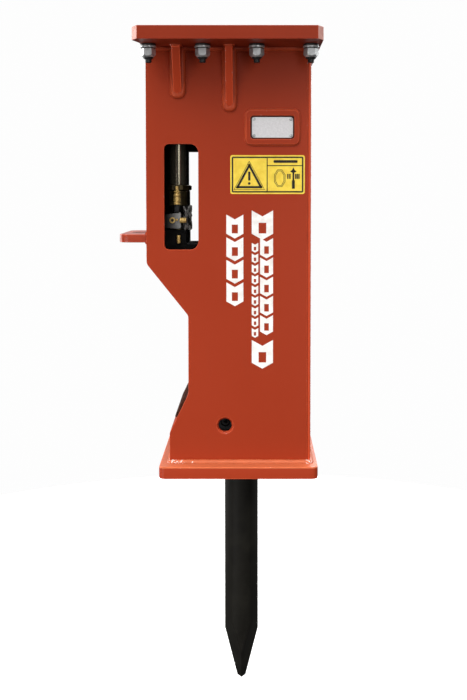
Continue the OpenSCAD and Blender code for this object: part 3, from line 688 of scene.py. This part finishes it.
def ringAt(height, left):   # round the housing where it meets a plate
    right, side = housing["right"], housing["side"]
    corners = [(left, -side, height), (right, -side, height), (right, side, height), (left, side, height)]
    return [(arcPath(corners, cornerRadii["ring"]), True)]


weldBeads("roofWeld", ringAt(housing["roof"], housing["left"]), beadSizes["roof"])
weldBeads("footWeld", ringAt(housing["foot"], housing["footLeft"]), beadSizes["foot"])

gussetValues = {"spans": [{"left": -127, "right": -111, "height": 88},
                          {"left": -28, "right": -13.5, "height": 113}],
                "reach": 49, "below": 1}


def gussetPaths(values):   # down each side plate and round the foot of each gusset
    paths = []
    for span in values["spans"]:
        foot = housing["roof"] - span["height"] - values["below"]
        for face in (-housing["side"], housing["side"]):
            corners = [(span["left"], face, housing["roof"]), (span["left"], face, foot),
                       (span["right"], face, foot), (span["right"], face, housing["roof"])]
            paths.append((arcPath(corners, cornerRadii["gusset"], False), False))
    return paths


def gussetTopPaths(values):   # under the top plate round each gusset
    paths = []
    for span in values["spans"]:
        for side in (-1, 1):
            face = side * housing["side"]
            reach = side * (housing["side"] + values["reach"])
            corners = [(span["left"], face, housing["roof"]), (span["left"], reach, housing["roof"]),
                       (span["right"], reach, housing["roof"]), (span["right"], face, housing["roof"])]
            paths.append((arcPath(corners, cornerRadii["gussetTop"], False), False))
    return paths


weldBeads("gussetWelds", gussetPaths(gussetValues), beadSizes["gusset"])
weldBeads("gussetTopWelds", gussetTopPaths(gussetValues), beadSizes["gussetTop"])

lugValues = {"levels": (-378, -394), "halfWidth": 97}


def lugPaths(values):   # along the wall above and below the lug
    left, reach = housing["left"], values["halfWidth"]
    return [([Vector((left, -reach, level)), Vector((left, reach, level))], False)
            for level in values["levels"]]


weldBeads("lugWelds", lugPaths(lugValues), beadSizes["lug"])

badgeFrame = {"x": 60.9, "z": -174, "halfWidth": 50.5, "halfHeight": 32.5, "corner": 13}


def badgeFramePath(values):
    left, right = values["x"] - values["halfWidth"], values["x"] + values["halfWidth"]
    low, high = values["z"] - values["halfHeight"], values["z"] + values["halfHeight"]
    face = -housing["side"]
    corners = [(left, face, high), (right, face, high), (right, face, low), (left, face, low)]
    return [(arcPath(corners, values["corner"]), True)]


weldBeads("badgeFrameWeld", badgeFramePath(badgeFrame), beadSizes["badgeFrame"])

# the long seams where the side plates meet the right wall, and the plates' joints on the left
seamValues = {"corner": {"x": 130.3, "y": 105.3, "runs": [(-30, -815)]},
              "left": {"x": -179.2, "y": 98, "runs": [(-30, -374), (-398, -424)]}}


def seamPaths(values):   # upright, one run after the other, on both sides
    paths = []
    for high, low in values["runs"]:
        for y in (-values["y"], values["y"]):
            paths.append(([Vector((values["x"], y, high)), Vector((values["x"], y, low))], False))
    return paths


weldBeads("cornerSeams", seamPaths(seamValues["corner"]), beadSizes["corner"], "seamPaint")
weldBeads("leftSeams", seamPaths(seamValues["left"]), beadSizes["left"])
print("welds laid")


# nuts' lower collars and the screw ends with their threads

boltValues = {"xs": (-169, -69, 31, 131), "ys": (-161, 161)}
threadValues = {"crest": 7.9, "root": 6.7, "pitch": 2.0, "top": -46, "shoulder": -52.2, "point": 5.8,
                "end": -58.5}


def atBolts():
    return [Matrix.Translation((x * mm, y * mm, 0)) for x in boltValues["xs"] for y in boltValues["ys"]]


def screwEnd(values):
    point = values["point"]
    profile = [(point - 0.8, values["end"]), (point, values["end"] + 0.9), (point, values["shoulder"] - 0.6)]
    height = values["shoulder"]
    while height < values["top"]:
        profile += [(values["root"], height), (values["crest"], height + values["pitch"] * 0.4),
                    (values["crest"], height + values["pitch"] * 0.6)]
        height += values["pitch"]
    return profile


heads = softened("plate_screws", "plateScrewHeads", 0.4)
onlySelect(heads)
bpy.ops.object.mode_set(mode="EDIT")
bpy.ops.mesh.select_all(action="SELECT")
bpy.ops.mesh.bisect(plane_co=(0, 0, threadValues["top"] * mm), plane_no=(0, 0, 1), clear_inner=True,
                    use_fill=True)
bpy.ops.object.mode_set(mode="OBJECT")
dress(heads, materials["zincPlate"], root, ["plate_screws"])
threads = copiesAt("plateScrewThreads", turned(screwEnd(threadValues), 20), atBolts())
smoothed(threads, 30)
dress(threads, materials["blackOxide"], root, ["plate_screws"])

# rings on each bolt: the nut's collar, the washer, its gasket, and a thin black ring at the nut's top under
# the washer that paints the shadow between them
ringValues = {
    "nutCollars": {
        "finish": "blackOxide", "slot": "zinc", "sides": 32,
        "profile": [(7.9, -48.0), (9.2, -48.2), (9.6, -48.9), (9.4, -50.0), (8.6, -50.9), (7.9, -50.6),
                    (7.9, -48.0)]},
    "plateWasherRings": {
        "finish": "zincPlate", "slot": "zinc", "sides": 40, "replaced": ["plate_washers"],
        "profile": [(8.3, -31.5), (13.6, -31.5), (14.8, -30.7), (15.0, -29.9), (15.0, -28.3), (14.4, -27.6),
                    (8.3, -27.6), (8.3, -31.5)]},
    "washerGaskets": {
        "finish": "sealRubber", "slot": "seal_rubber", "sides": 40,
        "profile": [(8.6, -27.6), (13.8, -27.6), (14.3, -26.8), (14.3, -25.2), (13.6, -24.0), (8.6, -24.0),
                    (8.6, -27.6)]},
    # painted shadow: a thin black ring at the nut's top under the washer
    "nutLips": {
        "finish": "blackOxide", "slot": "zinc", "sides": 40,
        "profile": [(8.3, -31.4), (12.9, -31.4), (13.2, -31.8), (13.1, -32.6), (12.6, -33.0), (8.3, -33.0),
                    (8.3, -31.4)]}}
for name, values in ringValues.items():
    rings = copiesAt(name, turned(values["profile"], values["sides"]), atBolts())
    smoothed(rings)
    dress(rings, materials[values["finish"]], root, values.get("replaced", ()))
print("plate bolts dressed")


# badge screws: low domes with their heads towards the near side

badgeScrewValues = {
    "profile": [(0.5, -2.75), (1.6, -2.6), (2.6, -2.2), (3.1, -1.6), (3.1, -1.2), (1.5, -1.2), (1.5, 1.0)],
    "sides": 20, "across": 35.0, "up": 15.5, "depth": -110.2}


def badgeScrews(values, frameValues):
    turn = Matrix.Rotation(math.radians(-90), 4, "X")
    spots = []
    for aside in (-values["across"], values["across"]):
        for up in (-values["up"], values["up"]):
            place = ((frameValues["x"] + aside) * mm, values["depth"] * mm, (frameValues["z"] + up) * mm)
            spots.append(Matrix.Translation(place) @ turn)
    screws = copiesAt("badgeScrews", turned(values["profile"], values["sides"]), spots)
    smoothed(screws)
    dress(screws, materials["zincPlate"], root, ["nameplate_screws"])


badgeScrews(badgeScrewValues, badgeFrame)


# flat printed shapes: thin solids that stand just proud of the side plate

def flatShape(sides, size, place, layer, thick, turn=0.0, bevel=0.0, line=0.0):
    # a plane or a disc of straight sides in the side plate's plane, with an open middle where line is given
    selectNone()
    if sides == 4:
        bpy.ops.mesh.primitive_plane_add(size=1, location=(0, 0, 0))
    else:
        bpy.ops.mesh.primitive_circle_add(vertices=sides, radius=0.5, fill_type="NGON", location=(0, 0, 0))
    shape = bpy.context.object
    shape.rotation_euler = (0, 0, math.radians(turn))
    settle(shape)
    shape.scale = (size[0] * mm, size[1] * mm, 1)
    settle(shape)
    bpy.ops.object.mode_set(mode="EDIT")
    bpy.ops.mesh.select_all(action="SELECT")
    if bevel:
        bpy.ops.mesh.bevel(offset=bevel * mm, segments=4, affect="VERTICES")
    if line:
        bpy.ops.mesh.select_all(action="SELECT")
        bpy.ops.mesh.inset(thickness=line * mm, depth=0)
        bpy.ops.mesh.delete(type="FACE")
        bpy.ops.mesh.select_all(action="SELECT")
    bpy.ops.mesh.extrude_region_move(TRANSFORM_OT_translate={"value": (0, 0, thick * mm)})
    bpy.ops.mesh.select_all(action="SELECT")
    bpy.ops.mesh.normals_make_consistent(inside=False)
    bpy.ops.object.mode_set(mode="OBJECT")
    shape.rotation_euler = (math.radians(90), 0, 0)
    shape.location = (place[0] * mm, -(housing["side"] + layer) * mm, place[1] * mm)
    settle(shape)
    return shape


labelValues = {"low": (-19.3, -300.5), "high": (122.8, -226.6), "divider": 51.0, "rule": -246.5,
               "layer": 0.38, "ink": 0.16}


def yellowLabel(values):
    x0, z0 = values["low"]
    x1, z1 = values["high"]
    middle = ((x0 + x1) / 2, (z0 + z1) / 2)
    base = flatShape(4, (x1 - x0, z1 - z0), middle, 0, 0.4, bevel=4)
    base.name = "labelBase"
    dress(base, materials["labelYellow"], root, ["yellow_label"])
    layer, ink = values["layer"], values["ink"]
    split, rule = values["divider"], values["rule"]
    signX = (x0 + split) / 2 + 1.0
    toolX = split + 50
    prints = [flatShape(4, (x1 - x0 - 5.4, z1 - z0 - 5.4), middle, layer, ink, bevel=3, line=2.9),
              flatShape(4, (1.8, z1 - z0 - 9), (split, middle[1]), layer, ink),
              flatShape(4, (x1 - split - 4.5, 1.7), ((x1 - 4 + split) / 2, rule), layer, ink),
              flatShape(3, (60, 64), (signX, -273.6), layer, ink, bevel=1.0, line=4.2),
              flatShape(3, (69, 74), (signX, -274.2), layer, ink, bevel=1.4, line=0.9),
              flatShape(4, (4.4, 17), (signX, -266.5), layer, ink, bevel=0.6),
              flatShape(12, (5.2, 5.2), (signX, -280.4), layer, ink),
              flatShape(4, (46, 5.2), (split + 35, -238.6), layer, ink, bevel=2.0),
              flatShape(8, (23, 36), (split + 24, -270.5), layer, ink, turn=22.5, line=1.0),
              flatShape(8, (18, 31), (split + 24, -270.5), layer, ink, turn=22.5, line=1.0),
              flatShape(3, (8, 10), (toolX, -254.5), layer, ink),
              flatShape(8, (12, 5), (toolX, -257.5), layer, ink, turn=22.5),
              flatShape(4, (3.4, 20), (toolX, -268.0), layer, ink),
              flatShape(4, (5.6, 16), (toolX, -282.5), layer, ink, bevel=0.6)]
    for place in (-10.6, -6.6, 4.4, 7.4, 10.6):
        prints.append(flatShape(4, (2.5, 9.6), (toolX + place, -267.0), layer, ink))
    printed = joined("labelPrint", prints)
    dress(printed, materials["labelBlack"])


yellowLabel(labelValues)
print("label printed")


# a guard sleeve on each hose, turned about Z

hoseValues = {"x": -124, "ys": (-45, 45), "low": -283, "top": -46, "guard": 16.0, "sides": 96}


def atHoses(aside=0.0, forward=0.0):
    return [Matrix.Translation(((hoseValues["x"] + aside) * mm, (y - forward) * mm, 0))
            for y in hoseValues["ys"]]


def guardProfile(low, high, radius):   # smooth from end to end, its rims rolled over
    inner, rim = radius - 0.45, radius - 0.15
    return [(inner, low), (rim, low), (radius, low + 0.5), (radius, high - 0.5), (rim, high), (inner, high),
            (inner, low)]


guards = turned(guardProfile(hoseValues["low"], hoseValues["top"], hoseValues["guard"]), hoseValues["sides"])
sleeves = copiesAt("hoseSleeves", guards, atHoses())
smoothed(sleeves)
dress(sleeves, materials["hoseRubber"], root, ["hose_ferrules"])


# small fittings seen through the window

fittingValues = {
    "gauge": [
        (1.2, -321.6), (6.2, -321.6), (6.8, -320.6), (6.8, -319.0), (5.9, -317.6), (5.6, -316.6),
        (6.9, -315.4), (7.2, -314.2), (7.2, -308.8), (6.5, -307.6), (6.5, -306.8), (7.2, -305.6),
        (7.2, -301.4), (6.5, -300.2), (5.2, -299.4), (5.0, -298.2), (6.6, -296.8), (6.8, -295.6),
        (5.6, -294.8), (3.7, -293.8), (3.6, -286.4), (3.0, -285.4), (1.2, -285.2)],
    "stud": [
        (5.4, -336.4), (6.3, -336.0), (6.3, -334.6), (5.7, -334.0), (5.7, -332.8), (6.3, -332.2),
        (6.3, -323.4), (5.6, -322.4), (3.2, -321.7)],
    "peg": [
        (2.0, -396.8), (3.3, -396.2), (3.5, -395.2), (3.5, -388.8), (3.1, -388.2), (3.1, -386.8),
        (3.5, -386.2), (3.5, -382.2), (3.0, -381.2), (1.2, -381.0)],
    "barrel": [
        (1.6, 0.0), (4.6, 0.1), (5.2, 0.8), (5.2, 3.4), (4.8, 3.9), (4.8, 4.4), (5.2, 4.9), (5.2, 8.6),
        (4.7, 9.3), (4.7, 10.0), (5.1, 10.5), (5.1, 12.0), (4.3, 12.8), (1.6, 12.9)],
    "cap": [
        (0.8, 2.2), (3.1, 2.2), (3.2, 4.3), (3.6, 4.7), (5.4, 4.5), (6.0, 3.8), (6.0, 0.4), (5.4, 0.0),
        (0.8, 0.0)],
    # socket is a black disc that paints the shade down in a cap's socket
    "socket": [(0.3, 3.4), (3.1, 3.4), (3.1, 2.0), (0.3, 2.0)],
    "dowel": [(0.6, 2.4), (1.9, 2.1), (2.3, 1.5), (2.3, 0.0), (0.6, 0.0)],
    "gaugeForward": 27, "pegAside": 3, "pegForward": 27.5}

inFront = atHoses(0, fittingValues["gaugeForward"])
gauges = copiesAt("testFittings", turned(fittingValues["gauge"], 32), inFront)
pegs = copiesAt("testPegs", turned(fittingValues["peg"], 20),
                atHoses(fittingValues["pegAside"], fittingValues["pegForward"]))
gauges = joined("testFittings", [gauges, pegs])
smoothed(gauges, 32)
dress(gauges, materials["yellowBrass"], root, ["test_points"])
studs = copiesAt("gaugeStuds", turned(fittingValues["stud"], 8), inFront)
smoothed(studs, 30)
dress(studs, materials["blackOxide"])

strapValues = {
    "outline": [(-148.5, -367.0), (-120.5, -368.6), (-117.3, -367.4), (-116.2, -364.5), (-116.2, -339.0),
                (-117.0, -337.1), (-118.8, -336.5), (-148.5, -341.0)],
    "face": 72.0, "thick": 3.0, "round": 0.9}


def clampStrap(values, side):
    selectNone()
    bpy.ops.mesh.primitive_circle_add(vertices=len(values["outline"]), radius=1, fill_type="NGON",
                                      location=(0, 0, 0))
    strap = bpy.context.object
    for vertex, (x, z) in zip(strap.data.vertices, values["outline"]):
        vertex.co = (x * mm, side * values["face"] * mm, z * mm)
    bpy.ops.object.mode_set(mode="EDIT")
    bpy.ops.mesh.select_all(action="SELECT")
    depth = side * values["thick"] * mm
    bpy.ops.mesh.extrude_region_move(TRANSFORM_OT_translate={"value": (0, depth, 0)})
    bpy.ops.mesh.select_all(action="SELECT")
    bpy.ops.mesh.normals_make_consistent(inside=False)
    bpy.ops.object.mode_set(mode="OBJECT")
    edges = strap.modifiers.new("edges", "BEVEL")
    edges.width = values["round"] * mm
    edges.segments = 3
    edges.angle_limit = math.radians(50)
    applyAll(strap)
    return strap


straps = joined("clampStraps", [clampStrap(strapValues, side) for side in (-1, 1)])
smoothed(straps)
dress(straps, materials["strapSteel"], root, ["clamp_straps"])


# brass screws of the clamp: a socket cap and a dowel on each strap, and a barrel beside it

screwValues = {"height": -351.7, "capX": -132.8, "dowelX": -124.2, "dowelHeight": -350.8, "barrelX": -118.2,
               "seat": 75, "barrelDepth": 80.3}


def facing(x, z, depth):   # laid along Y on both sides, heads outwards
    return [Matrix.Translation((x * mm, side * depth * mm, z * mm))
            @ Matrix.Rotation(math.radians(-90 * side), 4, "X") for side in (-1, 1)]


def lyingAlong(x, z, depth):   # laid along X on both sides
    return [Matrix.Translation((x * mm, side * depth * mm, z * mm))
            @ Matrix.Rotation(math.radians(90), 4, "Y") for side in (-1, 1)]


def clampScrews(values, profiles):
    capSpots = facing(values["capX"], values["height"], values["seat"])
    dowelSpots = facing(values["dowelX"], values["dowelHeight"], values["seat"])
    barrelSpots = lyingAlong(values["barrelX"], values["height"], values["barrelDepth"])
    caps = copiesAt("clampCaps", turned(profiles["cap"], 24), capSpots)
    dowels = copiesAt("clampDowels", turned(profiles["dowel"], 16), dowelSpots)
    barrels = copiesAt("clampBarrels", turned(profiles["barrel"], 28), barrelSpots)
    # black discs down in the caps' sockets paint the shade of the recess
    socketShades = copiesAt("clampSockets", turned(profiles["socket"], 6), capSpots)
    smoothed(socketShades, 30)
    dress(socketShades, materials["blackOxide"])
    brass = joined("clampScrews", [caps, dowels, barrels])
    smoothed(brass, 32)
    dress(brass, materials["yellowBrass"], root, ["clamp_bolts"])


clampScrews(screwValues, fittingValues)

castingValues = {"low": (-109.5, -75, -368), "high": (-97.5, -64, -325), "rough": 2.3, "fine": 0.3, "seed": 3}


def roughCasting(values):
    # a sand-cast lug: a block cut finely, its points shaken
    low, high = Vector(values["low"]), Vector(values["high"])
    selectNone()
    bpy.ops.mesh.primitive_cube_add(size=1, location=(0, 0, 0))
    block = bpy.context.object
    block.scale = (high - low) * mm
    block.location = (high + low) / 2 * mm
    settle(block)
    bpy.ops.object.mode_set(mode="EDIT")
    bpy.ops.mesh.select_all(action="SELECT")
    bpy.ops.mesh.subdivide(number_cuts=4, smoothness=0.0)
    bpy.ops.transform.vertex_random(offset=values["rough"] * mm, uniform=1.0, normal=0.3, seed=values["seed"])
    bpy.ops.mesh.subdivide(number_cuts=1, smoothness=0.6)
    shake = values["rough"] * values["fine"] * mm
    bpy.ops.transform.vertex_random(offset=shake, uniform=1.0, normal=0.3, seed=values["seed"])
    bpy.ops.object.mode_set(mode="OBJECT")
    return block


casting = roughCasting(castingValues)
casting.name = "roughCasting"
smoothed(casting, 40)
dress(casting, materials["roughAlloy"])
print("fittings made")


floorValues = {"radius": 1.45, "drop": 0.0005, "sides": 96, "colour": (0.93, 0.93, 0.93),
               "speck": (0.88, 0.88, 0.88), "glow": 0.5}


def makeFloor(values):
    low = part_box("chisel")[0].z - values["drop"]
    selectNone()
    bpy.ops.mesh.primitive_circle_add(vertices=values["sides"], radius=values["radius"], fill_type="NGON",
                                      location=(0, 0, low))
    floor = bpy.context.object
    floor.name = "studioFloor"
    settle(floor)
    finish = Finish("paleFloor", {"Roughness": 0.9, "Specular IOR Level": 0.05,
                                  "Emission Color": (1, 1, 1, 1), "Emission Strength": values["glow"]})
    speckle = finish.ramp(finish.noise(3, 2), [(0.3, 0.0), (0.7, 1.0)])
    finish.feed("Base Color", finish.blend(speckle * 0.05, values["colour"], values["speck"]))
    floor.data.materials.append(finish.material)
    floor.visible_diffuse = False   # a pale floor that throws little light up
    floor.visible_glossy = False


makeFloor(floorValues)
print("floor laid")
